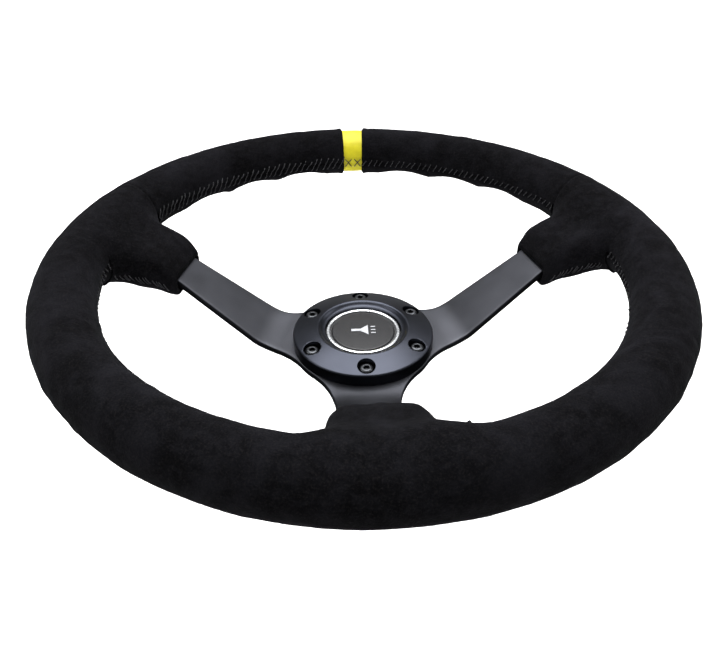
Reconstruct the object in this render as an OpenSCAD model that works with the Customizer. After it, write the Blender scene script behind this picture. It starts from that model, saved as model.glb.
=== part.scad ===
// Deep-dish three-spoke steering wheel with a suede rim, a centre marker band,
// a six-screw clamping ring and a sprung horn button.
// Origin: centre of the spoke plate's back face, where the wheel meets its hub boss.
// +Z runs along the steering axis towards the driver, +Y to the centre marker.

/* [Rim] */
// Outer diameter of the wheel over its suede cover
rim_od = 350; // [330:1:360]
// Diameter of the round grip section over its cover
grip_d = 33.4; // [30:0.2:36]
// Height of the grip's centre above the mounting face
dish = 58.7; // [50:0.1:70]
// Thickness of the suede skin
skin_t = 1.2; // [0.8:0.1:1.6]
// Depth by which the back of the upper grip is flattened
back_relief = 3.4; // [0:0.1:4]
// Depth of each finger hollow below the flattened back
finger_depth = 3; // [0:0.1:4]
// Angle between two finger hollows
finger_step = 12.8; // [11:0.1:14]
// Width of the centre marker band along the rim
marker_w = 15; // [10:0.5:25]

/* [Spokes] */
// Thickness of the spoke plate
plate_t = 4; // [3:0.5:5]
// Direction of the right spoke above the horizontal; the left one mirrors it
spoke_up = 15.1; // [0:0.1:25]
// Half width of a spoke where it folds up from the hub
spoke_half_in = 17.7; // [14:0.1:20]
// Half width of a spoke where it enters its sleeve
spoke_half_out = 13.3; // [10:0.1:16]
// Distance from the axis at which each spoke folds up
fold_s = 56.5; // [52:0.5:62]
// Distance from the axis at which each sleeve starts
sleeve_s = 107.5; // [95:0.5:112]
// Radius of the plate's hub disc
hub_r = 42.2; // [42:0.1:45]
// Radius of the fillets between the hub disc and the spokes
web_r = 45; // [15:1:50]

/* [Clamping ring and screws] */
// Pitch circle diameter of the six hub screws
pcd = 70; // [70:0.5:74]
// Thread diameter of the hub screws
screw_d = 5; // [4:0.5:6]
// Length of the hub screws under the head
screw_l = 16; // [14:1:25]
// Radius of the clamping ring
ring_r = 41.8; // [41.5:0.1:43]
// Radius of curvature of the ring's domed face
dome_r = 140; // [120:5:200]
// Radius of the ridge between the domed face and the bowl
ridge_r = 27; // [26:0.1:28]
// Height of the ridge above the mounting face
ridge_z = 14.9; // [14:0.1:16]

/* [Horn button] */
// Radius of the polished trim ring
trim_r = 22.1; // [21:0.1:22.2]
// Radius of the button cap
cap_r = 18.6; // [18:0.1:18.7]
// Height of the cap's face above the mounting face
cap_z = 11.9; // [11.5:0.1:12.1]
// Travel of the button
press = 2; // [1:0.1:2]

/* [Hidden] */
$fn = 96;
grip_r = grip_d / 2;
rim_r = rim_od / 2 - grip_r;
spoke_dirs = [spoke_up, 180 - spoke_up, 270];
bottom_fat = 4;
spoke_slope = 35;
top_s = fold_s + (dish - plate_t / 2) / tan(spoke_slope);
core_in = rim_r - 7;
core_out = rim_r + 7;
sleeve_arc = 12.2;
low_arc = 13.6;
seam_gap = 0.25;
marker_arc = marker_w / 2 / rim_r * 180 / PI;
fingers = 3;
finger_r = 26;
stitch_pitch = 3.8;
thread_r = 0.45;
clear_r = 0.25;
rivet_r = 2;
rivet_head_r = 3.6;
rivet_head_t = 1.2;
core_t = 4;
head_r = 4.25;
head_h = 3.3;
head_z = 12.3;
bore_r = 22.7;
seat_r = 21.8;
shelf_z = 9.7;
hex_w = 3;
counterbore_r = 5.2;
plate_bore_r = 27;
barrel_r = 21.5;
flange_r = 22.3;
flange_z = shelf_z + 1.2;
trim_in_r = 19.8;
hub_hole_r = 2.2;
terminal_x = 12;
eyelet_r = 1.2;
guide_r = 18.9;
wide_r = 20;
floor_z = -6;
floor_t = 1.5;
hook_z = 2.6;
base_z = floor_z + floor_t;
base_t = 2;
contact_gap = press + 0.2;
contact_z = 0.5;
groove_z = 2.4;
groove_h = 1.3;
stem_r = 3;
spring_r = 7.4;
spring_wire_r = 0.45;
spring_turns = 5;
tongue_t = 0.4;
spring_lo = base_z + base_t + tongue_t;
spring_hi = cap_z - 2.2;
tab_t = 0.8;
tab_w = 6.3;
tab_l = 8;

// ---------- shared shapes ----------

// Grip section centred on its own axis, shrunk by inset; back is how much of its rear is cut flat.
module grip_section(inset, back) {
    r = grip_r - inset;
    difference() {
        circle(r = r);
        if (back > 0)
            translate([-2 * r, -grip_r - r + back + inset - grip_r])
                square([4 * r, grip_r + r]);
    }
}

// Solid arc of the grip from angle a0 to a1.
module grip_arc(a0, a1, inset, back) {
    rotate([0, 0, a0])
        translate([0, 0, dish])
            rotate_extrude(angle = a1 - a0)
                translate([rim_r, 0])
                    grip_section(inset, back);
}

// Round bars that hollow the back of the upper grip, side = 1 to the right or -1 to the left.
module finger_bars(side, inset) {
    for (k = [1 : fingers])
        rotate([0, 0, 90 - side * k * finger_step])
            translate([0, 0, dish - grip_r + back_relief + finger_depth - finger_r])
                rotate([0, 90, 0])
                    cylinder(r = finger_r + inset, h = rim_od);
}

// Upper half of the grip on one side, from the marker's edge to the sleeve.
module upper_grip(side, inset, a_in, a_out) {
    difference() {
        if (side > 0)
            grip_arc(90 - a_out, 90 - a_in, inset, back_relief);
        else
            grip_arc(90 + a_in, 90 + a_out, inset, back_relief);
        finger_bars(side, inset);
    }
}

// Side outline of one spoke in (s, z): flat hub, fold, slope and flat tip under the rim core.
module spoke_profile() {
    k = plate_t * tan(spoke_slope / 2);
    polygon([
        [0, 0],
        [fold_s + k / 2, 0],
        [top_s + k / 2, dish - plate_t],
        [core_out - 1, dish - plate_t],
        [core_out - 1, dish],
        [top_s - k / 2, dish],
        [fold_s - k / 2, plate_t],
        [0, plate_t]
    ]);
}

// Half width of a spoke at distance s from the axis.
function spoke_half(s) =
    spoke_half_in + (spoke_half_out - spoke_half_in) * (s - fold_s) / (sleeve_s - fold_s);

// Plan of one spoke lying along +X, with a fillet on each side that runs into the hub disc.
module spoke_plan() {
    steps = 12;
    s1 = core_out - 1;
    w = spoke_half(fold_s);
    cx = sqrt(pow(hub_r + web_r, 2) - pow(w + web_r, 2));
    cy = w + web_r;
    foot_a = 180 + atan2(cy, cx);
    web = [for (i = [0 : steps]) let (t = foot_a + (270 - foot_a) * i / steps)
        [cx + web_r * cos(t), cy + web_r * sin(t)]];
    root = [web[0][0] / 2, web[0][1] / 2];
    polygon(concat(
        [root],
        web,
        [[s1, spoke_half(s1)], [s1, -spoke_half(s1)]],
        [for (i = [steps : -1 : 0]) [web[i][0], -web[i][1]]],
        [[root[0], -root[1]]]
    ));
}

// The hub disc with its webs, and the three spokes that fold up from it, cut from one sheet.
module plate_solid() {
    flat_r = fold_s - plate_t * tan(spoke_slope / 2) / 2 - 0.01;
    linear_extrude(plate_t)
        intersection() {
            circle(r = flat_r);
            union() {
                circle(r = hub_r);
                for (a = spoke_dirs)
                    rotate(a)
                        spoke_plan();
            }
        }
    for (a = spoke_dirs)
        rotate([0, 0, a])
            intersection() {
                rotate([90, 0, 0])
                    translate([0, 0, -hub_r])
                        linear_extrude(2 * hub_r)
                            spoke_profile();
                translate([hub_r, -hub_r, -1])
                    cube([rim_r, 2 * hub_r, dish + 2]);
                translate([0, 0, -1])
                    linear_extrude(dish + 2)
                        spoke_plan();
            }
}

// Height of the plate's middle at distance s on its slope.
function plate_mid(s) = plate_t / 2 + (s - fold_s) * tan(spoke_slope);

// Rounded slab across a spoke at s: middle at z, half width w, half height h, corner radius r.
module sleeve_rib(s, z, w, h, r) {
    for (y = [-1, 1])
        for (v = [-1, 1])
            translate([s, y * (w - r), z + v * (h - r)])
                rotate([0, 90, 0])
                    cylinder(r = r, h = 1, $fn = 24);
}

// Extra fullness of a sleeve: only the bottom one has it.
function sleeve_fat(a) = a == 270 ? bottom_fat : 0;

// Half the arc of grip that a sleeve's skin covers.
function half_arc(a) = a == 270 ? low_arc : sleeve_arc;

// Padded sleeve round a spoke's end, from its hem to inside the grip, shrunk by inset.
// fat thickens it: the bottom sleeve is fuller than the two at the sides.
module sleeve_form(a, inset, fat) {
    s0 = sleeve_s + inset / 2;
    s1 = sleeve_s + 7.5;
    s2 = sleeve_s + 24.5;
    s3 = rim_r - grip_r + 7;
    c = inset;
    rotate([0, 0, a])
        union() {
            hull() {
                sleeve_rib(s0, plate_mid(s0), 16 + fat / 2 - c, 4.6 + fat / 4 - c, 3 - c);
                sleeve_rib(s1, plate_mid(s1), 19.5 + fat / 2 - c, 12 + fat - c, 9 - c);
            }
            hull() {
                sleeve_rib(s1, plate_mid(s1), 19.5 + fat / 2 - c, 12 + fat - c, 9 - c);
                sleeve_rib(s2, dish - 10.5 + fat / 2, 22.5 + fat / 2 - c, 13.5 + fat / 2 - c, 10.5 - c);
            }
            hull() {
                sleeve_rib(s2, dish - 10.5 + fat / 2, 22.5 + fat / 2 - c, 13.5 + fat / 2 - c, 10.5 - c);
                sleeve_rib(s3, dish - 2.5, 28 + fat - c, 14.5 - c, 12.5 - c);
            }
        }
}

// Places a child at each of the six hub screws.
module at_screws() {
    for (k = [0 : 5])
        rotate([0, 0, 30 + 60 * k])
            translate([pcd / 2, 0, 0])
                children();
}

// Tube with its axis on Z.
module tube(r_out, r_in, z0, z1) {
    translate([0, 0, z0])
        difference() {
            cylinder(r = r_out, h = z1 - z0);
            translate([0, 0, -1])
                cylinder(r = r_in, h = z1 - z0 + 2);
        }
}

// ---------- frame ----------

module spoke_plate() {
    color("#4b4c50")
        difference() {
            plate_solid();
            translate([0, 0, -1])
                cylinder(r = plate_bore_r, h = plate_t + 2);
            at_screws()
                translate([0, 0, -1])
                    cylinder(r = screw_d / 2 + clear_r, h = plate_t + 2);
            at_rivets()
                cylinder(r = rivet_r, h = 20, center = true);
        }
}

// Places a child at both rivets of each spoke tip, at the joint between spoke and core.
module at_rivets() {
    for (a = spoke_dirs)
        for (y = [-7, 7])
            rotate([0, 0, a])
                translate([rim_r, y, dish])
                    children();
}

// Flat ring inside the grip that the spoke tips are riveted under.
module rim_core() {
    color("#9a9ca0")
        difference() {
            tube(core_out, core_in, dish, dish + core_t);
            at_rivets()
                cylinder(r = rivet_r, h = 20, center = true);
        }
}

module core_rivets() {
    color("#8d9094")
        at_rivets() {
            translate([0, 0, -plate_t - rivet_head_t])
                cylinder(r = rivet_head_r, h = rivet_head_t);
            translate([0, 0, -plate_t])
                cylinder(r = rivet_r, h = plate_t + core_t);
            translate([0, 0, core_t])
                cylinder(r = rivet_head_r, h = rivet_head_t);
        }
}

// ---------- grip ----------

// Clearance cut for everything that the padding is moulded round.
module core_cut() {
    tube(core_out, core_in, dish, dish + core_t);
    plate_solid();
    at_rivets()
        translate([0, 0, -plate_t - rivet_head_t])
            cylinder(r = rivet_head_r, h = plate_t + core_t + 2 * rivet_head_t);
}

// Wedge-shaped slab under the upper grip, whose top is the flattened back of the foam.
module back_cut(inset) {
    a_side = spoke_up + sleeve_arc;
    rotate([0, 0, a_side])
        translate([0, 0, dish - 2 * grip_r + back_relief + inset])
            rotate_extrude(angle = 180 - 2 * a_side)
                translate([rim_r - 2 * grip_r, 0])
                    square([4 * grip_r, grip_r]);
}

// Foam of the whole grip, one closed ring moulded round the core.
module rim_padding() {
    color("#2b2b2e")
        difference() {
            translate([0, 0, dish])
                rotate_extrude()
                    translate([rim_r, 0])
                        circle(r = grip_r - skin_t);
            back_cut(skin_t);
            finger_bars(1, skin_t);
            finger_bars(-1, skin_t);
            core_cut();
        }
}

// Foam of one sleeve, from its end to the grip's foam.
module sleeve_padding(a) {
    color("#2b2b2e")
        difference() {
            sleeve_form(a, skin_t, sleeve_fat(a));
            grip_arc(a - 15, a + 15, skin_t - 0.05, 0);
            plate_solid();
        }
}

module sleeve_padding_left() {
    sleeve_padding(180 - spoke_up);
}

module sleeve_padding_right() {
    sleeve_padding(spoke_up);
}

module sleeve_padding_bottom() {
    sleeve_padding(270);
}

// Skin of the upper grip on one side.
module cover_upper(side) {
    a_in = marker_arc + 0.1;
    a_out = 90 - spoke_up - sleeve_arc - seam_gap / 2;
    color("#1b1b1c")
        difference() {
            upper_grip(side, 0, a_in, a_out);
            upper_grip(side, skin_t, a_in - 1, a_out + 1);
        }
}

module cover_upper_left() {
    cover_upper(-1);
}

module cover_upper_right() {
    cover_upper(1);
}

// Skin of the lower grip between two sleeves.
module cover_lower(a0, a1) {
    color("#1b1b1c")
        difference() {
            grip_arc(a0, a1, 0, 0);
            grip_arc(a0 - 1, a1 + 1, skin_t, 0);
        }
}

module cover_lower_left() {
    cover_lower(180 - spoke_up + sleeve_arc + seam_gap / 2, 270 - low_arc - seam_gap / 2);
}

module cover_lower_right() {
    cover_lower(270 + low_arc + seam_gap / 2, 360 + spoke_up - sleeve_arc - seam_gap / 2);
}

// Skin over one sleeve and the piece of grip that it joins.
module cover_sleeve(a) {
    color("#1b1b1c")
        difference() {
            union() {
                grip_arc(a - half_arc(a), a + half_arc(a), 0, 0);
                sleeve_form(a, 0, sleeve_fat(a));
            }
            grip_arc(a - 22, a + 22, skin_t, 0);
            sleeve_form(a, skin_t, sleeve_fat(a));
            plate_solid();
        }
}

module cover_sleeve_left() {
    cover_sleeve(180 - spoke_up);
}

module cover_sleeve_right() {
    cover_sleeve(spoke_up);
}

module cover_sleeve_bottom() {
    cover_sleeve(270);
}

// Leather band, a little lower than the suede on both sides.
module centre_marker() {
    color("#efe63c")
        difference() {
            grip_arc(90 - marker_arc, 90 + marker_arc, 0.3, back_relief);
            grip_arc(89 - marker_arc, 91 + marker_arc, skin_t, back_relief);
        }
}

// Stitches laced across the seam on the side of the grip that faces the hub.
module seam_thread() {
    step = stitch_pitch / (rim_r - grip_r) * 180 / PI;
    spans = [
        [90 + marker_arc + 1, 180 - spoke_up - sleeve_arc - 1],
        [spoke_up + sleeve_arc + 1, 90 - marker_arc - 1],
        [180 - spoke_up + sleeve_arc + 3, 270 - low_arc - 3],
        [270 + low_arc + 3, 360 + spoke_up - sleeve_arc - 3]
    ];
    color("#3a3a3c")
        for (span = spans)
            for (a = [span[0] : step : span[1]])
                rotate([0, 0, a])
                    translate([rim_r - grip_r - thread_r, 0, dish])
                        rotate([25, 0, 0])
                            cylinder(r = thread_r, h = 5, center = true, $fn = 16);
}

// ---------- clamping ring and screws ----------

// Height of the ring's domed face at radius r.
function dome_z(r) = ridge_z - (r * r - ridge_r * ridge_r) / (2 * dome_r);

// Half section of the ring: wall, domed face, ridge, bowl, button seat and bore.
module ring_section() {
    edge = 1.5;
    shoulder = ring_r - edge;
    bowl_w = ridge_r - bore_r;
    bowl_drop = 2.2;
    polygon(concat(
        [[seat_r, plate_t], [ring_r, plate_t]],
        [for (i = [0 : 6]) let (t = i * 12.5)
            [shoulder + edge * cos(t), dome_z(shoulder) - edge + edge * sin(t)]],
        [for (i = [1 : 11]) let (r = shoulder + (ridge_r + 0.8 - shoulder) * i / 11)
            [r, dome_z(r)]],
        [for (i = [1 : 4]) let (t = 90 + i * 25)
            [ridge_r + 0.8 * cos(t), ridge_z - 0.8 + 0.8 * sin(t) + 0.02]],
        [for (i = [1 : 8]) let (u = i / 8)
            [ridge_r - 0.8 - (bowl_w - 0.8) * u, ridge_z - 0.9 - (bowl_drop - 0.9) * (1 - pow(1 - u, 2))]],
        [[bore_r, shelf_z], [seat_r, shelf_z]]
    ));
}

module clamping_ring() {
    color("#3c3e44")
        difference() {
            rotate_extrude()
                ring_section();
            at_screws() {
                cylinder(r = screw_d / 2 + clear_r, h = 30);
                translate([0, 0, head_z - head_h])
                    cylinder(r = counterbore_r, h = 20);
            }
        }
}

// Socket-head screws with domed heads. The end that screws into the hub has the thread's full
// size; the length inside the ring and plate is a little thinner.
module ring_screws() {
    flat_r = 2.3;
    side_h = 0.9;
    tip = head_z - head_h - screw_l;
    neck_r = screw_d / 2 - 0.3;
    color("#5e6064")
        at_screws()
            difference() {
                rotate_extrude()
                    polygon(concat(
                        [[0, tip], [screw_d / 2 - 0.5, tip], [screw_d / 2, tip + 0.5]],
                        [[screw_d / 2, 0], [neck_r, 0], [neck_r, head_z - head_h]],
                        [[head_r, head_z - head_h]],
                        [for (t = [0 : 15 : 90])
                            [flat_r + (head_r - flat_r) * cos(t),
                             head_z - (head_h - side_h) * (1 - sin(t))]],
                        [[0, head_z]]
                    ));
                translate([0, 0, head_z - 2])
                    cylinder(r = hex_w / sqrt(3), h = 3, $fn = 6);
            }
}

// ---------- horn button ----------

// Polished bead round the button.
module trim_ring() {
    r_mid = (trim_r + trim_in_r) / 2;
    half = (trim_r - trim_in_r) / 2;
    side_h = 0.5;
    color("#e6e7e8")
        rotate_extrude()
            polygon(concat(
                [[trim_in_r, flange_z], [trim_r, flange_z]],
                [for (t = [0 : 15 : 180])
                    [r_mid + half * cos(t), flange_z + side_h + 0.7 * sin(t)]]
            ));
}

// Cup that carries the button in the ring's bore.
module button_housing() {
    groove_r = barrel_r - 0.8;
    color("#1f2022")
        difference() {
            rotate_extrude()
                polygon([
                    [hub_hole_r, floor_z], [barrel_r, floor_z],
                    [barrel_r, groove_z], [groove_r, groove_z],
                    [groove_r, groove_z + groove_h], [barrel_r, groove_z + groove_h],
                    [barrel_r, shelf_z], [flange_r, shelf_z], [flange_r, flange_z],
                    [guide_r, flange_z], [guide_r, hook_z + 1.5],
                    [wide_r, hook_z + 1.2], [wide_r, base_z],
                    [hub_hole_r, base_z]
                ]);
            for (x = [-terminal_x, terminal_x])
                translate([x, 0, floor_z - 1])
                    cylinder(r = eyelet_r, h = 4);
        }
}

// Split wire ring that locks the housing under the clamping ring.
module snap_ring() {
    color("#a9abae")
        difference() {
            tube(24, barrel_r - 0.7, groove_z + 0.15, groove_z + groove_h - 0.15);
            translate([0, -3, 0])
                cube([30, 6, 10]);
        }
}

// Insulating disc on the floor of the housing.
module contact_base() {
    color("#6b4a2f")
        difference() {
            tube(16, hub_hole_r, base_z, base_z + base_t);
            for (x = [-terminal_x, terminal_x])
                translate([x, 0, base_z - 1])
                    cylinder(r = eyelet_r, h = 5);
        }
}

// Brass ring on the insulating disc, under the moving contact, with a tongue to its rivet.
module fixed_contact() {
    ring_in = 3.6;
    color("#c9a24a")
        difference() {
            union() {
                tube(5.8, ring_in, base_z + base_t, contact_z - contact_gap);
                translate([0, -2, base_z + base_t])
                    cube([terminal_x + 2.5, 4, tongue_t]);
            }
            translate([0, 0, base_z + base_t - 1])
                cylinder(r = ring_in, h = 5);
            translate([terminal_x, 0, base_z])
                cylinder(r = eyelet_r, h = 5);
        }
}

// Rivets that hold each terminal to the insulating disc through the housing's floor.
module contact_rivets() {
    rivet_cap_r = 2;
    rivet_cap_t = 0.8;
    color("#c9a24a")
        for (x = [-terminal_x, terminal_x])
            translate([x, 0, 0]) {
                seat = base_z + base_t + (x > 0 ? tongue_t : 0);
                foot = floor_z - tab_t;
                translate([0, 0, seat])
                    cylinder(r = rivet_cap_r, h = rivet_cap_t);
                translate([0, 0, foot])
                    cylinder(r = eyelet_r, h = seat - foot);
                translate([0, 0, foot - rivet_cap_t])
                    cylinder(r = rivet_cap_r, h = rivet_cap_t);
            }
}

// Blade terminal: a foot under the floor with its tab bent down.
module blade_terminal(side) {
    mirror([side < 0 ? 1 : 0, 0, 0])
        color("#b9bbbd") {
            difference() {
                translate([terminal_x - 3.2, -tab_w / 2, floor_z - tab_t])
                    cube([7, tab_w, tab_t]);
                translate([terminal_x, 0, floor_z - 5])
                    cylinder(r = eyelet_r, h = 8);
            }
            translate([terminal_x + 3.8 - tab_t, -tab_w / 2, floor_z - tab_t - tab_l])
                cube([tab_t, tab_w, tab_l + 0.01]);
        }
}

module live_terminal() {
    blade_terminal(1);
}

module earth_terminal() {
    blade_terminal(-1);
}

// Compression coil: a round wire swept along a helix from spring_lo to spring_hi.
module horn_spring() {
    sides = 8;
    steps = 16 * spring_turns;
    z0 = spring_lo + spring_wire_r + 0.05;
    z1 = spring_hi - spring_wire_r - 0.05;
    rings = [for (i = [0 : steps]) let (a = 360 * spring_turns * i / steps, z = z0 + (z1 - z0) * i / steps)
        [for (j = [0 : sides - 1]) let (b = 360 * j / sides, r = spring_r + spring_wire_r * cos(b))
            [r * cos(a), r * sin(a), z + spring_wire_r * sin(b)]]];
    pts = [for (ring = rings) for (p = ring) p];
    skin = [for (i = [0 : steps - 1]) for (j = [0 : sides - 1]) let (k = (j + 1) % sides)
        [i * sides + j, i * sides + k, (i + 1) * sides + k, (i + 1) * sides + j]];
    color("#b4b6b9")
        polyhedron(
            points = pts,
            faces = concat(
                skin,
                [[for (j = [sides - 1 : -1 : 0]) j]],
                [[for (j = [0 : sides - 1]) steps * sides + j]]
            )
        );
}

// Shallow domed cap with a guide skirt, a retaining lip and a stem for the moving contact.
module button_cap() {
    color("#4a4a4c")
        rotate_extrude()
            polygon(concat(
                [[0, contact_z + 0.8], [stem_r, contact_z + 0.8], [stem_r, cap_z - 2]],
                [[cap_r - 1.6, cap_z - 2], [cap_r - 1.6, hook_z - 0.9]],
                [[cap_r + 0.9, hook_z - 0.9], [cap_r + 0.9, hook_z + 0.5], [cap_r, hook_z + 1]],
                [[cap_r, cap_z - 0.9]],
                [for (t = [30 : 30 : 90]) [cap_r - 0.5 + 0.5 * cos(t), cap_z - 0.9 + 0.5 * sin(t)]],
                [for (i = [1 : 6]) let (r = (cap_r - 0.5) * (1 - i / 6))
                    [r, cap_z - 0.4 * pow(r / (cap_r - 0.5), 2)]]
            ));
}

// Plain horn pictogram, raised on the cap: mouthpiece, flared bell and three sound bars.
module cap_pictogram() {
    lift = 0.25;
    color("#d9dadc")
        difference() {
            translate([0, 0, cap_z - 0.4])
                linear_extrude(lift + 0.4) {
                    polygon([[-7, -1.1], [-1.5, -1.1], [3, -4.6], [3, 4.6], [-1.5, 1.1], [-7, 1.1]]);
                    for (y = [-3, 0, 3])
                        translate([4.6, y - 0.4])
                            square([2.8, 0.8]);
                }
            rotate_extrude()
                polygon(concat(
                    [[0, cap_z - 1.5], [cap_r - 0.5, cap_z - 1.5]],
                    [for (i = [0 : 6]) let (r = (cap_r - 0.5) * (1 - i / 6))
                        [r, cap_z - 0.4 * pow(r / (cap_r - 0.5), 2)]]
                ));
        }
}

// Brass plate under the cap's stem.
module moving_contact() {
    color("#c9a24a")
        tube(6.2, 1.1, contact_z, contact_z + 0.8);
}

// Rivet through the moving contact, into the stem.
module cap_rivet() {
    color("#c9a24a") {
        translate([0, 0, contact_z - 0.5])
            cylinder(r = 2, h = 0.5);
        translate([0, 0, contact_z])
            cylinder(r = 1.1, h = 0.8);
    }
}

spoke_plate();
rim_core();
core_rivets();
rim_padding();
sleeve_padding_left();
sleeve_padding_right();
sleeve_padding_bottom();
cover_upper_left();
cover_upper_right();
cover_lower_left();
cover_lower_right();
cover_sleeve_left();
cover_sleeve_right();
cover_sleeve_bottom();
centre_marker();
seam_thread();
clamping_ring();
ring_screws();
trim_ring();
button_housing();
snap_ring();
contact_base();
fixed_contact();
contact_rivets();
live_terminal();
earth_terminal();
horn_spring();
button_cap();
cap_pictogram();
moving_contact();
cap_rivet();
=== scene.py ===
"""Looks of a deep-dish three-spoke steering wheel with a suede grip and a sprung horn button.

Every length below is in millimetres in the part's own frame, as in the CAD part, and is turned to
metres only where a mesh is made. +Z runs along the steering axis towards the driver, +Y to the marker.
"""

import math

import bmesh
import bpy
import numpy as np
from mathutils import Matrix, Vector


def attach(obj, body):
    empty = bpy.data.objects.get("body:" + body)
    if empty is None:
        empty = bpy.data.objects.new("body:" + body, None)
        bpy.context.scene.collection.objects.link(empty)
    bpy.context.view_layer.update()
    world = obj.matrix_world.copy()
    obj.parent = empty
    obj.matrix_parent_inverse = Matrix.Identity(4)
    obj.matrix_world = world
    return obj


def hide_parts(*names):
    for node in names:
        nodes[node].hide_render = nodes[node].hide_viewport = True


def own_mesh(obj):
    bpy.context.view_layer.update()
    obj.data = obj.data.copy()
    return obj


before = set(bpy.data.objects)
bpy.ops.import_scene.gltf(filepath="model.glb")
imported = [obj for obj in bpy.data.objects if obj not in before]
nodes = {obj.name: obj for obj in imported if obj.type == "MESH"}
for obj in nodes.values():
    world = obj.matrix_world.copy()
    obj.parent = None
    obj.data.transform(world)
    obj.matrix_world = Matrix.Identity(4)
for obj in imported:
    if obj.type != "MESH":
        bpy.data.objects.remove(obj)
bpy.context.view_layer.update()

MM = 0.001
UP = np.array([0, 0, 1.0])

# ---------- sizes of the wheel, as in the CAD part ----------

DISH = 58.7  # height of the grip's centre
RIM_OUT = 175.0  # outer radius over the suede
GRIP_A = 16.45  # half width of the grip's section
GRIP_B = 17.0  # half height of the grip's section
RIM_R = RIM_OUT - GRIP_A
BACK_RELIEF = 3.4
FINGER_DEPTH = 4.0
FINGER_STEP = 14.5
FINGERS = 3
MARKER_HALF = 2.5  # degrees
SPOKE_UP = 15.1
DOWN = 270.0
SPOKE_DIRS = (SPOKE_UP, 180.0 - SPOKE_UP, DOWN)
SLOPE = math.radians(35.0)
PLATE_T = 4.0
FOLD_S = 56.5
SLEEVE_S = 107.5
HUB_R = 42.2
WEB_R = 45.0
HALF_IN = 17.7
HALF_OUT = 13.3
RING_R = 41.8
RIDGE_R = 27.0
RIDGE_Z = 14.9
DOME_R = 140.0
BORE_R = 22.7
PLATE_BORE_R = 27.0
SEAT_R = 21.8
SHELF_Z = 9.7
PCD_R = 35.0
COUNTERBORE_R = 5.2
HEAD_Z = 12.3
HEAD_R = 4.25
HEAD_H = 3.3
SCREW_TIP = -7.0
CAP_R = 18.6
CAP_Z = 11.9
TRIM_IN = 19.8
TRIM_R = 22.1
FLANGE_Z = SHELF_Z + 1.2

# ---------- meshes ----------


def grid_faces(rows, cols, wrap_rows=False, wrap_cols=False):
    """Quads of a grid of rows x cols points in row-major order, wrapped round where asked."""
    i = np.arange(rows if wrap_rows else rows - 1)[:, None]
    j = np.arange(cols if wrap_cols else cols - 1)[None, :]
    i1, j1 = (i + 1) % rows, (j + 1) % cols
    quads = [i * cols + j, i1 * cols + j, i1 * cols + j1, i * cols + j1]
    return np.stack([np.broadcast_to(q, (i.size, j.size)).ravel() for q in quads], axis=1)


def quad_mesh(name, points, faces, merge=2e-7, turn_out=True):
    """Smooth mesh from points in mm and quads: doubles within merge metres become one, faces look outwards."""
    points, faces = np.asarray(points, float).reshape(-1, 3), np.asarray(faces, np.int32)
    mesh = bpy.data.meshes.new(name)
    mesh.vertices.add(len(points))
    mesh.vertices.foreach_set("co", (points * MM).astype(np.float32).ravel())
    mesh.loops.add(faces.size)
    mesh.loops.foreach_set("vertex_index", faces.ravel())
    mesh.polygons.add(len(faces))
    mesh.polygons.foreach_set("loop_start", np.arange(len(faces), dtype=np.int32) * 4)
    mesh.update(calc_edges=True)
    bm = bmesh.new()
    bm.from_mesh(mesh)
    bmesh.ops.remove_doubles(bm, verts=bm.verts, dist=merge)
    if turn_out:
        bmesh.ops.recalc_face_normals(bm, faces=bm.faces)
    bm.to_mesh(mesh)
    bm.free()
    mesh.polygons.foreach_set("use_smooth", np.ones(len(mesh.polygons), bool))
    return mesh


def new_object(name, data):
    """An object in the scene with this data."""
    made = bpy.data.objects.new(name, data)
    bpy.context.scene.collection.objects.link(made)
    return made


def mesh_piece(name, points, faces, material, body, stands_for=(), sharp=None):
    """One closed piece from points in mm and quads, riding on a body."""
    mesh = quad_mesh(name, points, faces)
    if sharp is not None:
        mesh.set_sharp_from_angle(angle=math.radians(sharp))
    piece = new_object(name, mesh)
    mesh.materials.append(material)
    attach(piece, body)
    if stands_for:
        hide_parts(*stands_for)
    return piece


def lathe(profile, count=144):
    """Grid made by turning a profile of (radius, height) rows about Z, count steps round."""
    profile = np.asarray(profile, float)
    turn = 2 * np.pi * np.arange(count) / count
    r, z = profile[:, :1], profile[:, 1:]
    return np.stack([r * np.cos(turn), r * np.sin(turn), z + 0 * turn], axis=-1)


def arc(cx, cy, r, a0, a1, steps):
    """Points (x, y) on a circle of radius r about (cx, cy), from angle a0 to a1 in degrees."""
    t = np.radians(np.linspace(a0, a1, steps + 1))
    return np.stack([cx + r * np.cos(t), cy + r * np.sin(t)], axis=1)


def tubes(paths, radius, sides=8):
    """Round tubes along paths (count, points, 3): each ring lies square to its path's direction."""
    ahead = np.gradient(paths, axis=1)
    ahead /= np.linalg.norm(ahead, axis=2, keepdims=True)
    side = np.cross(ahead, np.broadcast_to([0.31, 0.17, 0.93], paths.shape))
    side /= np.linalg.norm(side, axis=2, keepdims=True)
    up = np.cross(side, ahead)
    turn = 2 * np.pi * np.arange(sides) / sides
    radius = np.broadcast_to(radius, paths.shape[:2])[:, :, None, None]
    ring = side[:, :, None] * np.cos(turn)[:, None] + up[:, :, None] * np.sin(turn)[:, None]
    points = paths[:, :, None] + radius * ring
    count, steps = paths.shape[:2]
    one = grid_faces(steps, sides, wrap_cols=True)
    faces = (one[None] + (np.arange(count) * steps * sides)[:, None, None]).reshape(-1, 4)
    return points.reshape(-1, 3), faces


def smooth_step(x, lo, hi):
    """0 below lo, 1 above hi, and a smooth cubic between."""
    t = np.clip((x - lo) / (hi - lo), 0, 1)
    return t * t * (3 - 2 * t)


def smooth_min(a, b, k):
    """Smaller of a and b, rounded over a width k where they are nearly equal."""
    m = np.clip(1 - np.abs(a - b) / k, 0, None)
    return np.minimum(a, b) - m * m * k / 4


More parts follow.
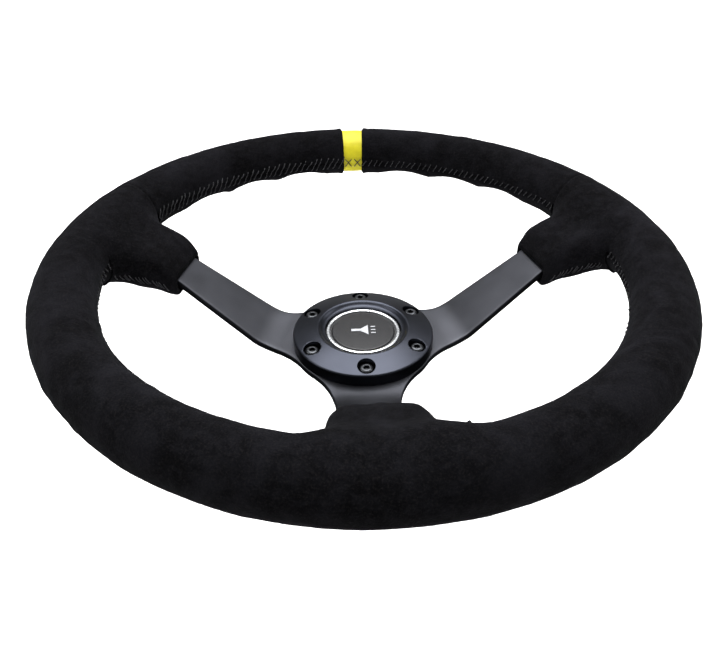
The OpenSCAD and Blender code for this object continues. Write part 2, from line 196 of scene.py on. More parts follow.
def through(x, xs, ys):
    """Smooth curve through the points (xs, ys): cubic pieces whose slopes are those of the chords."""
    xs, ys = np.asarray(xs, float), np.asarray(ys, float)
    slope = np.gradient(ys, xs)
    x = np.clip(x, xs[0], xs[-1])
    i = np.clip(np.searchsorted(xs, x, side="right") - 1, 0, len(xs) - 2)
    h = xs[i + 1] - xs[i]
    t = (x - xs[i]) / h
    return (
        (2 * t**3 - 3 * t**2 + 1) * ys[i]
        + (t**3 - 2 * t**2 + t) * h * slope[i]
        + (3 * t**2 - 2 * t**3) * ys[i + 1]
        + (t**3 - t**2) * h * slope[i + 1]
    )


def ripples(p, wave, seed, count=14):
    """Soft irregular field of about unit size: a sum of sines in seeded directions, wave mm long."""
    draw = np.random.default_rng(seed)
    way = draw.normal(size=(count, 3))
    way /= np.linalg.norm(way, axis=1, keepdims=True)
    length = wave * draw.uniform(0.7, 1.5, count)
    phase = draw.uniform(0, 2 * np.pi, count)
    return np.sin(p @ (way / length[:, None]).T * 2 * np.pi + phase).sum(axis=1) / math.sqrt(count)


# ---------- shape of the suede ----------


def clock(p):
    """Angle of a point from twelve o'clock in degrees, positive to the right."""
    return np.degrees(np.arctan2(p[:, 0], p[:, 1]))


def relief(turn):
    """Depth cut off the back of the grip at an angle: flat between the sleeves, with finger hollows."""
    away = np.abs(turn)
    hollow = np.zeros_like(away)
    for k in range(1, FINGERS + 1):
        t = np.clip(np.abs(away - k * FINGER_STEP) / (FINGER_STEP / 2), 0, 1)
        hollow += (1 - t * t) ** 1.2
    return BACK_RELIEF + FINGER_DEPTH * hollow, 1 - smooth_step(away, 56, 68)


def grip_field(p):
    """Signed size of the grip: an oval ring, whose back is planed down by relief() and rounded off."""
    across = (np.hypot(p[:, 0], p[:, 1]) - RIM_R) / GRIP_A
    along = (p[:, 2] - DISH) / GRIP_B
    ring = (np.hypot(across, along) - 1) * (GRIP_A + GRIP_B) / 2
    depth, present = relief(clock(p))
    plane = DISH - GRIP_B - 9 + (depth + 9) * present - p[:, 2]
    return -smooth_min(-ring, -plane, 6.0)


SLEEVE_STATIONS = (107.5, 115.0, 132.0, 149.0, 160.0)
SLEEVE_SHAPE = {
    # per station: half width, half height, height of the middle, corner radius
    "side": ((18.9, 19.5, 22.5, 26.5, 22.0), (11.3, 12.0, 13.5, 12.6, 8.0),
             (37.9, 43.0, 48.2, 54.5, 57.5), (8.5, 9.0, 10.5, 11.0, 7.0)),
    "bottom": ((20.6, 21.5, 24.5, 28.5, 24.0), (14.4, 15.6, 15.5, 12.8, 8.0),
               (38.5, 43.0, 50.0, 58.0, 60.0), (9.0, 10.5, 11.5, 11.0, 7.0)),
}
HEM_HALF = (16.2, 4.9, 2.6)  # half width, half height and corner radius of the hem
SLEEVE_END = 151.0  # where a sleeve stops inside the grip
END_ROUND = 9.0  # length over which a sleeve swells from its hem


def sleeve_section(s, form):
    """Half width, half height, middle height and corner radius of a sleeve at distance s from the axis."""
    w, h, mid, r = (through(s, SLEEVE_STATIONS, row) for row in SLEEVE_SHAPE[form])
    t = np.clip((s - SLEEVE_S) / END_ROUND, 0, 1)
    swell = np.sqrt(np.clip(1 - (1 - t) ** 2, 0, 1))
    plate_mid = PLATE_T / 2 + (s - FOLD_S) * math.tan(SLOPE)
    mid = plate_mid + (mid - plate_mid) * swell
    return (
        HEM_HALF[0] + (w - HEM_HALF[0]) * swell,
        HEM_HALF[1] + (h - HEM_HALF[1]) * swell,
        mid,
        HEM_HALF[2] + (r - HEM_HALF[2]) * swell,
    )


def sleeve_axes(direction):
    """Unit vectors along and across a spoke that points in a direction in degrees."""
    a = math.radians(direction)
    return np.array([math.cos(a), math.sin(a), 0.0]), np.array([-math.sin(a), math.cos(a), 0.0])


def sleeve_form(direction):
    """Which of the two rows of SLEEVE_SHAPE a spoke's sleeve has."""
    return "bottom" if direction == DOWN else "side"


def sleeve_field(p, direction):
    """Signed size of one sleeve: a rounded slab whose section changes along the spoke."""
    along, across = sleeve_axes(direction)
    s, y = p @ along, p @ across
    fuller = 2.0 * smooth_step(y, 0, 15) * smooth_step(s, 108, 120) * (direction == DOWN)
    y = np.abs(y) - fuller
    w, h, mid, r = sleeve_section(np.clip(s, SLEEVE_S, None), sleeve_form(direction))
    qx, qz = y - (w - r), np.abs(p[:, 2] - mid) - (h - r)
    d = np.hypot(np.maximum(qx, 0), np.maximum(qz, 0)) + np.minimum(np.maximum(qx, qz), 0) - r
    return np.maximum(np.maximum(d, SLEEVE_S - s), s - SLEEVE_END)


FILLET = 13.0


def skin_field(p, sleeves):
    """Grip and sleeves as one padded form, with a soft fillet where a sleeve runs into the grip."""
    f = grip_field(p)
    for direction in sleeves:
        k = FILLET + 6.0 * smooth_step(p[:, 0], 5, 25) * (direction == DOWN)
        f = smooth_min(f, sleeve_field(p, direction), k)
    return f


def slope_of(p, sleeves):
    """Gradient of skin_field by central differences of 0.05 mm."""
    step = 0.05
    parts = []
    for axis in range(3):
        d = np.zeros(3)
        d[axis] = step
        parts.append((skin_field(p + d, sleeves) - skin_field(p - d, sleeves)) / (2 * step))
    return np.stack(parts, axis=1)


def settle(p, sleeves, steps=4, hold=None):
    """Moves points onto the skin along the field's slope; hold is a direction that they keep out of."""
    for _ in range(steps):
        g = slope_of(p, sleeves)
        if hold is not None:
            g = g - (g * hold).sum(axis=1, keepdims=True) * hold
        size = np.maximum((g * g).sum(axis=1), 0.04)
        move = skin_field(p, sleeves) / size
        p = p - np.clip(move, -4, 4)[:, None] * g
    return p


def outwards(p, sleeves):
    """Unit normals of the skin."""
    g = slope_of(p, sleeves)
    return g / np.linalg.norm(g, axis=1, keepdims=True)


SEAMS = {SPOKE_DIRS[0]: 12.2, SPOKE_DIRS[1]: 12.2, SPOKE_DIRS[2]: 13.6}  # half arc of a sleeve's panel
SEAM_TURNS = [t for d, half in SEAMS.items() for t in (90 - d - half, 90 - d + half)]
STITCH = 3.8  # pitch of the lacing along the inner seam
LANE = 186  # section angle of the inner seam, in degrees
DEGREE = math.pi * RIM_R / 180  # arc of one degree round the grip's centre line


def turn_gap(turn, other):
    """Smallest angle between two turns in degrees."""
    return np.abs((turn - other + 180) % 360 - 180)


def section_angle(p):
    """Angle of a point round the grip's section in degrees: 0 outwards, 90 towards the driver, 180 inwards."""
    out = np.hypot(p[:, 0], p[:, 1]) - RIM_R
    return np.degrees(np.arctan2(p[:, 2] - DISH, out)) % 360


def dents(p):
    """Height of the small forms of the suede over the smooth skin: seams, lacing and soft unevenness."""
    turn = clock(p)
    d = 0.1 * ripples(p, 34, 5) + 0.09 * ripples(p, 11, 6) + 0.035 * ripples(p, 4.2, 7)
    inside = np.hypot(p[:, 0], p[:, 1]) > 136
    for seam in SEAM_TURNS:
        gap = turn_gap(turn, seam) * DEGREE
        deep = 0.7 if abs(seam) < 90 - SPOKE_UP else 0.12
        seam_form = 0.2 * np.exp(-((gap - 2.6) / 2.2) ** 2) - 0.55 * np.exp(-((gap / 0.8) ** 2))
        d += np.where(inside, deep * seam_form, 0)
    edge = np.clip(np.abs(turn) - MARKER_HALF, 0, None) * DEGREE
    near = (np.abs(turn) < 20) & (np.abs(turn) >= MARKER_HALF - 0.01)
    d += np.where(near, 0.45 * np.exp(-((edge - 1.5) / 1.6) ** 2) - 1.7 * np.exp(-((edge / 0.7) ** 2)), 0)
    lane = (section_angle(p) - LANE) * math.pi / 180 * GRIP_A
    free = np.ones(len(p))
    for direction, half in SEAMS.items():
        free *= smooth_step(turn_gap(turn, 90 - direction), half - 1.5, half + 1.5)
    pucker = 0.13 * np.cos(2 * np.pi * turn * DEGREE / STITCH)
    d += free * (pucker * np.exp(-((lane / 4.5) ** 2)) - 0.85 * np.exp(-((lane / 0.9) ** 2)))
    d += free * 0.25 * np.exp(-((np.abs(lane) - 3.2) / 2.0) ** 2)
    for direction in SPOKE_DIRS:
        along, across = sleeve_axes(direction)
        s, y = p @ along, p @ across
        near_hem = np.exp(-(((s - SLEEVE_S - 6) / 6) ** 2)) * (s < 130)
        d += near_hem * 0.28 * ripples(np.stack([s * 0.5, y, p[:, 2]], axis=1), 10, 11)
    return d


def skin(p, sleeves, lift=0.0):
    """Points on the finished suede near p, raised by lift along its normal."""
    p = settle(p, sleeves)
    return p + outwards(p, sleeves) * (dents(p) + lift)[:, None]


def grip_point(turn, angle):
    """Point on the plain oval ring at a turn from twelve o'clock and an angle round the section, in degrees."""
    t, v = np.radians(turn), np.radians(angle)
    out = RIM_R + GRIP_A * np.cos(v)
    return np.stack([out * np.sin(t), out * np.cos(t), DISH + GRIP_B * np.sin(v)], axis=-1)


def grip_grid(turn, angle):
    """Grid of points on the plain ring, a row per turn and a column per section angle."""
    return grip_point(turn[:, None] + 0 * angle, 0 * turn[:, None] + angle)


def turn_hold(p):
    """Unit vectors along the rim at each point."""
    r = np.hypot(p[:, 0], p[:, 1])
    return np.stack([p[:, 1] / r, -p[:, 0] / r, 0 * r], axis=1)


def facing_out(p, faces, normals, judged):
    """The faces, all reversed if those in judged look into the skin rather than along its normals."""
    a, b, c = p[judged[:, 0]], p[judged[:, 1]], p[judged[:, 2]]
    if (np.cross(b - a, c - a) * normals[judged[:, 0]]).sum() < 0:
        faces = faces[:, ::-1]
    return faces


SKIN_T = 1.2


def finish_panel(name, grid, faces, sleeves, material, stands_for, at_edge):
    """Settles a panel's grid on the skin, adds its small forms and gives it the suede's thickness."""
    p = grid.reshape(-1, 3)
    hold = turn_hold(p) * at_edge.reshape(-1, 1)
    p = settle(p, sleeves, 5, hold)
    n = outwards(p, sleeves)
    p = p + n * dents(p)[:, None]
    faces = facing_out(p, faces, n, faces)
    return panel_piece(name, p, faces, material, stands_for)


def panel_piece(name, p, faces, material, stands_for):
    """An open sheet of points and quads as a padded piece, thickened inwards by the suede's thickness."""
    mesh = quad_mesh(name, p, faces, merge=2e-6, turn_out=False)
    edge_of = np.zeros(len(mesh.loops), np.int32)
    mesh.loops.foreach_get("edge_index", edge_of)
    border = np.bincount(edge_of, minlength=len(mesh.edges)) == 1
    mesh.attributes.new("sharp_edge", "BOOLEAN", "EDGE").data.foreach_set("value", border)
    mesh.materials.append(material)
    piece = new_object(name, mesh)
    wall = piece.modifiers.new("suede thickness", "SOLIDIFY")
    wall.thickness = SKIN_T * MM
    wall.offset = -1
    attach(piece, "wheel")
    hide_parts(*stands_for)
    return piece


def rim_panel(name, turn0, turn1, sleeves, material, stands_for):
    """Suede round the grip from one turn to another: a grid of turn by section angle."""
    step = 1.1
    cols = 96
    rows = int(abs(turn1 - turn0) * math.pi / 180 * RIM_R / step)
    u = np.linspace(0, 1, rows)
    turn = turn0 + (turn1 - turn0) * u
    v = np.linspace(0, 360, cols, endpoint=False)
    grid = grip_grid(turn, v)
    at_edge = np.zeros((rows, cols))
    at_edge[[0, -1]] = 1
    return finish_panel(name, grid, grid_faces(rows, cols, wrap_cols=True), sleeves, material,
                        stands_for, at_edge)


def even_loop(points, count):
    """The closed loop through points, resampled to count points an equal distance apart."""
    closed = np.vstack([points, points[:1]])
    run = np.concatenate([[0], np.cumsum(np.linalg.norm(np.diff(closed, axis=0), axis=1))])
    want = np.linspace(0, run[-1], count, endpoint=False)
    return np.stack([np.interp(want, run, closed[:, k]) for k in range(closed.shape[1])], axis=1)


def section_loop(s, form, along, across, count, shrink=0.0):
    """Rounded slab outline of a sleeve at s, as count even points, from the middle of its top."""
    w, h, mid, r = (float(x) for x in sleeve_section(np.array(s), form))
    w, h, r = w - shrink, h - shrink, max(r - shrink, 0.6)
    corners = [arc(w - r, h - r, r, 90, 0, 10), arc(w - r, r - h, r, 0, -90, 10),
               arc(r - w, r - h, r, 270, 180, 10), arc(r - w, h - r, r, 180, 90, 10)]
    flat = even_loop(np.vstack([[[0.0, h]]] + corners), count)
    return s * along + flat[:, :1] * across + (mid + flat[:, 1:]) * UP


def sleeve_panel(name, direction, material, stands_for):
    """Suede over one sleeve and the grip behind it.

    The grid's columns run round the sleeve; its rows run from the folded hem, along the sleeve and
    out over the grip to a rectangle in (turn, section angle) whose two long sides are the seams and
    whose two short sides meet on the outside of the grip. Rows are evened out by averaging each
    point with its neighbours and settling it on the skin again.
    """
    count = 320
    along, across = sleeve_axes(direction)
    form = sleeve_form(direction)
    half = SEAMS[direction]
    turn0 = 90 - direction
    middle = 205.0
    # inner lip of the hem, then the tube up to where it meets the grip
    plate_half = HALF_OUT + 0.35
    rows = []
    for s, shrink in ((SLEEVE_S + 5.0, None), (SLEEVE_S + 1.2, None)):
        z = PLATE_T / 2 + (s - FOLD_S) * math.tan(SLOPE)
        lip = PLATE_T / 2 / math.cos(SLOPE) + 0.35
        box = np.array([[0, lip], [plate_half, lip], [plate_half, -lip], [-plate_half, -lip], [-plate_half, lip]])
        flat = even_loop(box, count)
        rows.append(s * along + flat[:, :1] * across + (z + flat[:, 1:]) * UP)
    hem_s = SLEEVE_S + np.array([0.15, 0.0, 0.25, 0.7])
    hem_shrink = (1.6, 0.8, 0.25, 0.0)
    rows += [section_loop(s, form, along, across, count, k) for s, k in zip(hem_s, hem_shrink)]
    fixed = len(rows)
    tube_s = SLEEVE_S + 1.2 + (138.0 - SLEEVE_S - 1.2) * np.linspace(0, 1, 34) ** 1.15
    rows += [section_loop(s, form, along, across, count) for s in tube_s]
    # rectangle on the grip, from the middle of its upper short side, clockwise as the section loop
    sign = 1.0 if np.dot(across, grip_point(turn0 + 1, 180.0) - grip_point(turn0, 180.0)) > 0 else -1.0
    lo, hi = middle - 180, middle + 180
    mm_turn, mm_angle = DEGREE, math.pi * GRIP_B / 180
    frame_mm = np.array([[0, lo * mm_angle], [half * mm_turn, lo * mm_angle], [half * mm_turn, hi * mm_angle],
                         [-half * mm_turn, hi * mm_angle], [-half * mm_turn, lo * mm_angle]])
    edge = even_loop(frame_mm, count) / [mm_turn, mm_angle]
    foot = section_loop(139.0, form, along, across, count)
    foot_turn = (foot @ across) / 141.0 * 180 / math.pi
    foot_angle = 180 - (foot[:, 2] - DISH) / 17.0 * 60
    foot_angle = np.clip(foot_angle, 150, 262)
    for t in np.linspace(0, 1, 44)[1:]:
        turn = turn0 + sign * (foot_turn * (1 - t) + edge[:, 0] * t)
        angle = foot_angle * (1 - t) + edge[:, 1] * t
        rows.append(grip_point(turn, angle))
    grid = np.stack(rows)
    n_rows = len(rows)
    at_edge = np.zeros((n_rows, count))
    at_edge[-1] = 1
    grid[-1] = settle(grid[-1], [direction], 6, turn_hold(grid[-1]))
    for _ in range(60):
        inner = grid[fixed:-1]
        mean = (grid[fixed - 1:-2] + grid[fixed + 1:] + np.roll(inner, 1, axis=1) + np.roll(inner, -1, axis=1)) / 4
        moved = (inner + (mean - inner) * 0.8).reshape(-1, 3)
        grid[fixed:-1] = settle(moved, [direction], 1).reshape(inner.shape)
    inner = grid[fixed:-1]
    grid[fixed:-1] = settle(inner.reshape(-1, 3), [direction], 4).reshape(inner.shape)
    p = grid.reshape(-1, 3)
    n = outwards(p, [direction])
    ease = np.concatenate([np.zeros(fixed), smooth_step(np.arange(n_rows - fixed), 0, 5)])[:, None]
    p = p + n * dents(p)[:, None] * (ease + np.zeros((1, count))).reshape(-1, 1)
    faces = grid_faces(n_rows, count, wrap_cols=True)
    faces = facing_out(p, faces, n, faces[faces[:, 0] // count > fixed])
    return panel_piece(name, p, faces, material, stands_for)


# ---------- materials ----------


def linear(hex_colour):
    """Linear RGBA of an sRGB hex value."""
    srgb = [int(hex_colour[k:k + 2], 16) / 255 for k in (1, 3, 5)]
    return [c / 12.92 if c <= 0.04045 else ((c + 0.055) / 1.055) ** 2.4 for c in srgb] + [1.0]


def new_material(name, **values):
    """A material whose only shader is Principled, with the given socket values; returns it and its tree."""
    material = bpy.data.materials.new(name)
    material.use_nodes = True
    shader = material.node_tree.nodes["Principled BSDF"]
    for key, value in values.items():
        shader.inputs[key.replace("_", " ")].default_value = value
    return material, material.node_tree, shader


def add(tree, kind, values=(), links=(), **settings):
    """Adds one node: settings are its own properties, values its sockets, links {socket: source}."""
    node = tree.nodes.new("ShaderNode" + kind)
    for key, value in settings.items():
        setattr(node, key, value)
    for key, value in dict(values).items():
        node.inputs[key].default_value = value
    for key, source in dict(links).items():
        tree.links.new(source, node.inputs[key])
    return node


def place(tree, scale=(1, 1, 1), turn=(0, 0, 0)):
    """Object coordinates in millimetres, turned and stretched."""
    spot = add(tree, "TexCoord")
    size = [1000.0 * k for k in scale]
    return add(tree, "Mapping", {"Scale": size, "Rotation": turn}, {"Vector": spot.outputs["Object"]}).outputs[0]


def grain(tree, spot, mm, detail=3.0, rough=0.5, warp=0.0):
    """Noise of 0 to 1 whose lumps are about mm wide."""
    return add(tree, "TexNoise", {"Scale": 1.0 / mm, "Detail": detail, "Roughness": rough, "Distortion": warp},
               {"Vector": spot}).outputs["Fac"]


def ramp(tree, fac, stops):
    """Colour ramp through (position, hex colour) stops."""
    node = add(tree, "ValToRGB", links={"Fac": fac})
    line = node.color_ramp
    while len(line.elements) < len(stops):
        line.elements.new(0.5)
    for element, (position, colour) in zip(line.elements, stops):
        element.position = position
        element.color = linear(colour)
    return node.outputs["Color"]


def span(tree, fac, lo, hi, to_lo, to_hi):
    """Maps lo..hi to to_lo..to_hi."""
    return add(tree, "MapRange", {"From Min": lo, "From Max": hi, "To Min": to_lo, "To Max": to_hi},
               {"Value": fac}).outputs["Result"]


def mixed(tree, fac, a, b, how="MIX"):
    """Mix of two colour sockets; fac is a socket or a number."""
    node = add(tree, "Mix", data_type="RGBA", blend_type=how)
    if isinstance(fac, float):
        node.inputs[0].default_value = fac
    else:
        tree.links.new(fac, node.inputs[0])
    for socket, source in ((6, a), (7, b)):
        if isinstance(source, str):
            node.inputs[socket].default_value = linear(source)
        else:
            tree.links.new(source, node.inputs[socket])
    return node.outputs[2]


def bumped(tree, shader, height, mm, strength=1.0, under=None):
    """Bump of a height of about mm on the shader, over another bump if there is one."""
    links = {"Height": height}
    if under is not None:
        links["Normal"] = under
    node = add(tree, "Bump", {"Strength": strength, "Distance": mm * MM}, links)
    tree.links.new(node.outputs["Normal"], shader.inputs["Normal"])
    return node.outputs["Normal"]


def suede():
    """Napped suede: split leather whose raised fibres scatter light, brushed into lighter and darker patches.

    It gives a nearly black surface with no gloss, a soft grey bloom at grazing angles, and a mottled
    nap. Fibres of 0.1 mm are drawn at 0.5 mm, because finer ones would not show.
    """
    m, tree, shader = new_material("suede_black_napped", Roughness=0.95, Specular_IOR_Level=0.03,
                                   Sheen_Weight=0.04, Sheen_Roughness=0.38)
    shader.inputs["Sheen Tint"].default_value = linear("#8a8c94")
    spot = place(tree)
    patches = grain(tree, spot, 34, 5.0, 0.6, 0.9)
    strokes = grain(tree, place(tree, (1, 1, 1.6)), 6, 3.0, 0.6, 0.8)
    fibres = grain(tree, spot, 0.9, 3.0, 0.7)
    base = ramp(tree, patches, [(0.36, "#050506"), (0.5, "#08080a"), (0.66, "#101013")])
    base = mixed(tree, span(tree, strokes, 0.42, 0.66, 0.0, 0.45), base, "#131316")
    base = mixed(tree, span(tree, fibres, 0.5, 0.75, 0.0, 0.45), base, "#201e1e")
    base = mixed(tree, span(tree, fibres, 0.45, 0.28, 0.0, 0.6), base, "#030304")
    tree.links.new(base, shader.inputs["Base Color"])
    nap = bumped(tree, shader, strokes, 0.5, 0.35)
    bumped(tree, shader, fibres, 0.35, 0.8, nap)
    return m


def marker_leather():
    """Dyed cowhide with a fine pressed grain and a thin clear finish: bright yellow, softly glossy, with painted shade
    that darkens the grain's creases.
    """
    m, tree, shader = new_material("leather_dyed_yellow", Roughness=0.48, Specular_IOR_Level=0.4)
    spot = place(tree)
    tone = grain(tree, spot, 5, 3.0, 0.5)
    base = ramp(tree, tone, [(0.35, "#bcb200"), (0.65, "#c9bf0a")])
    cell = add(tree, "TexVoronoi", {"Scale": 1 / 0.7}, {"Vector": spot}, feature="DISTANCE_TO_EDGE").outputs["Distance"]
    crease = span(tree, cell, 0.0, 0.12, 0.0, 1.0)
    # painted shade: the grain's creases (the cell edges) are mixed towards a darker yellow
    base = mixed(tree, span(tree, cell, 0.0, 0.1, 0.35, 0.0), base, "#b3a800")
    tree.links.new(base, shader.inputs["Base Color"])
    tree.links.new(span(tree, tone, 0.3, 0.7, 0.42, 0.56), shader.inputs["Roughness"])
    bumped(tree, shader, crease, 0.08, 0.5)
    return m


def thread_waxed():
    """Bonded nylon thread, two plies twisted and waxed: charcoal with a dull shine and a rope twist whose grooves carry
    painted shade and whose crowns carry painted light.
    """
    m, tree, shader = new_material("thread_bonded_nylon", Roughness=0.5, Specular_IOR_Level=0.45, Sheen_Weight=0.12,
                                   Sheen_Roughness=0.4)
    spot = place(tree, turn=(0.5, 0.6, 0.3))
    twist = add(tree, "TexWave", {"Scale": 1 / 1.9, "Distortion": 1.2, "Detail": 1.0}, {"Vector": spot}).outputs["Fac"]
    # painted shade and light: the twist's grooves are coloured darker and the plies' crowns lighter, following the bump
    base = ramp(tree, twist, [(0.25, "#0d0d0f"), (0.8, "#27272b")])
    tone = grain(tree, spot, 9, 2.0)
    base = mixed(tree, span(tree, tone, 0.4, 0.7, 0.0, 0.5), base, "#303036")
    tree.links.new(base, shader.inputs["Base Color"])
    bumped(tree, shader, twist, 0.15, 0.6)
    return m


def anodised(name, dark, light, rough, fine=0.02):
    """Aluminium, bead blasted and dyed in anodising: a satin metal with a very fine even tooth."""
    m, tree, shader = new_material(name, Metallic=1.0, Roughness=rough)
    spot = place(tree)
    tone = grain(tree, spot, 34, 3.0, 0.5)
    tooth = grain(tree, spot, 0.55, 2.0, 0.6)
    base = ramp(tree, tone, [(0.3, dark), (0.7, light)])
    base = mixed(tree, span(tree, tooth, 0.35, 0.7, 0.0, 0.25), base, light)
    tree.links.new(base, shader.inputs["Base Color"])
    tree.links.new(span(tree, tone, 0.3, 0.7, rough - 0.04, rough + 0.05), shader.inputs["Roughness"])
    bumped(tree, shader, tooth, fine, 0.5)
    return m


def steel(name, dark, light, rough, scratch=0.5):
    """Steel, turned or drawn and then plated: clear reflections broken by faint tool lines."""
    m, tree, shader = new_material(name, Metallic=1.0, Roughness=rough)
    lines = grain(tree, place(tree, (1, 1, 6)), 1.6, 3.0, 0.6)
    spots = grain(tree, place(tree), 3.5, 3.0, 0.6)
    base = ramp(tree, spots, [(0.3, dark), (0.7, light)])
    tree.links.new(base, shader.inputs["Base Color"])
    tree.links.new(span(tree, lines, 0.3, 0.7, rough - 0.06, rough + 0.08), shader.inputs["Roughness"])
    bumped(tree, shader, lines, 0.02, scratch)
    return m


def moulded(name, dark, light, rough, tooth_mm=0.5, depth=0.03):
    """Injection moulded plastic with an etched tool texture: even colour with a fine matt tooth."""
    m, tree, shader = new_material(name, Roughness=rough, IOR=1.5)
    spot = place(tree)
    tooth = grain(tree, spot, tooth_mm, 2.0, 0.6)
    tone = grain(tree, spot, 8, 2.0)
    base = ramp(tree, tooth, [(0.32, dark), (0.7, light)])
    base = mixed(tree, span(tree, tone, 0.3, 0.7, 0.0, 0.3), base, dark)
    tree.links.new(base, shader.inputs["Base Color"])
    tree.links.new(span(tree, tooth, 0.3, 0.7, rough - 0.05, rough + 0.06), shader.inputs["Roughness"])
    bumped(tree, shader, tooth, depth, 0.5)
    return m


def trim_chrome():
    """Brass bead plated with nickel and chromium: a mirror with faint polishing haze."""
    m, tree, shader = new_material("chrome_polished", Metallic=1.0, Roughness=0.26)
    haze = grain(tree, place(tree), 4, 3.0)
    tree.links.new(ramp(tree, haze, [(0.3, "#c6c9cc"), (0.7, "#dadcdf")]), shader.inputs["Base Color"])
    tree.links.new(span(tree, haze, 0.3, 0.7, 0.22, 0.32), shader.inputs["Roughness"])
    return m


def fibre_board():
    """Vulcanised fibre: pressed paper board, warm brown with fine flecks."""
    m, tree, shader = new_material("fibre_board_pressed", Roughness=0.7)
    spot = place(tree)
    fleck = grain(tree, spot, 0.8, 3.0, 0.7)
    tree.links.new(ramp(tree, fleck, [(0.3, "#5a3c22"), (0.7, "#7d5a36")]), shader.inputs["Base Color"])
    bumped(tree, shader, fleck, 0.05, 0.4)
    return m


def foam():
    """Moulded polyurethane foam with a closed skin: dull black with tiny pores, painted darker inside as painted shade.
    """
    m, tree, shader = new_material("foam_integral_skin", Roughness=0.85)
    pores = add(tree, "TexVoronoi", {"Scale": 1 / 1.1}, {"Vector": place(tree)}).outputs["Distance"]
    # painted shade: the base colour is darkest at the middle of each pore, where the bump is lowest
    tree.links.new(ramp(tree, pores, [(0.1, "#141416"), (0.6, "#2b2b2e")]), shader.inputs["Base Color"])
    bumped(tree, shader, pores, 0.15, 0.5)
    return m


SUEDE = suede()
YELLOW = marker_leather()
THREAD = thread_waxed()
PLATE = anodised("aluminium_spokes_satin_black", "#3a3b3f", "#494a4f", 0.46)
RING = anodised("aluminium_ring_satin_black", "#292b31", "#36383f", 0.32, 0.012)
SCREW = steel("steel_black_oxide", "#333437", "#4d4f52", 0.3)
CORE = steel("steel_cut_sheet", "#8d8f93", "#a6a8ac", 0.35)
SPRING = steel("steel_drawn_wire", "#a5a7aa", "#c6c8ca", 0.25)
TIN = steel("brass_tin_plated", "#b1b3b5", "#cfd0d2", 0.3)
BRASS = steel("brass_stamped", "#b98d3d", "#d8b366", 0.28)
CHROME = trim_chrome()
HOUSING = moulded("nylon_moulded_black", "#101012", "#1e1e21", 0.5)
CAP = moulded("abs_satin_dark", "#0c0c0e", "#1c1c1f", 0.3, 0.45, 0.02)
PRINT = moulded("ink_pad_print_pale", "#8f9195", "#b4b6ba", 0.45, 0.6, 0.01)
BOARD = fibre_board()
FOAM = foam()

for names, material in (
    (("rim_core", "core_rivets"), CORE),
    (("button_housing",), HOUSING),
    (("snap_ring",), SPRING),
    (("contact_base",), BOARD),
    (("fixed_contact", "contact_rivets", "moving_contact", "cap_rivet"), BRASS),
    (("live_terminal", "earth_terminal"), TIN),
    (("cap_pictogram",), PRINT),
):
    for node_name in names:
        for material_slot in nodes[node_name].material_slots:
            material_slot.material = material
        if not nodes[node_name].material_slots:
            nodes[node_name].data.materials.append(material)

# ---------- suede, marker and lacing ----------

right, left, bottom = SPOKE_DIRS
half_side, half_low = SEAMS[right], SEAMS[bottom]
turn_right, turn_left, turn_low = 90 - right, 90 - left, 180.0
sleeve_panel("suede_sleeve_right", right, SUEDE, ["cover_sleeve_right"])
sleeve_panel("suede_sleeve_left", left, SUEDE, ["cover_sleeve_left"])
sleeve_panel("suede_sleeve_bottom", bottom, SUEDE, ["cover_sleeve_bottom"])
rim_panel("suede_upper_right", MARKER_HALF, turn_right - half_side, [right], SUEDE, ["cover_upper_right"])
rim_panel("suede_upper_left", -MARKER_HALF, turn_left + half_side, [left], SUEDE, ["cover_upper_left"])
rim_panel("suede_lower_right", turn_right + half_side, turn_low - half_low, [right, bottom], SUEDE,
          ["cover_lower_right"])
rim_panel("suede_lower_left", turn_left - half_side, -turn_low + half_low, [left, bottom], SUEDE,
          ["cover_lower_left"])


def marker_band():
    """Leather band between the two upper panels: the grip's own section, sunk 1.2 mm and slightly crowned."""
    rows, cols = 25, 128
    half = MARKER_HALF + 0.28
    turn = np.linspace(-half, half, rows)
    v = np.linspace(0, 360, cols, endpoint=False)
    grid = grip_grid(turn, v).reshape(-1, 3)
    p = settle(grid, [], 5, turn_hold(grid))
    across = np.repeat(turn / half, cols)
    sink = -1.15 - 0.25 * across**2 + 0.05 * ripples(p, 7, 21)
    p = p + outwards(p, []) * sink[:, None]
    faces = grid_faces(rows, cols, wrap_cols=True)
    faces = facing_out(p, faces, outwards(p, []), faces)
    return panel_piece("marker_band", p, faces, YELLOW, ["centre_marker"])


marker_band()

THREAD_R = 0.32


def stitches(ends_a, ends_b, sleeves, arch=0.55):
    """Paths of short threads from ends_a to ends_b over the suede: both ends dip in, the middle rides on it."""
    t = np.linspace(0, 1, 8)
    paths = ends_a[:, None] + (ends_b - ends_a)[:, None] * t[:, None]
    lift = -0.7 + (0.7 + arch) * np.sin(np.pi * t) ** 0.45
    flat = paths.reshape(-1, 3)
    return skin(flat, sleeves, np.tile(lift, len(paths))).reshape(paths.shape)


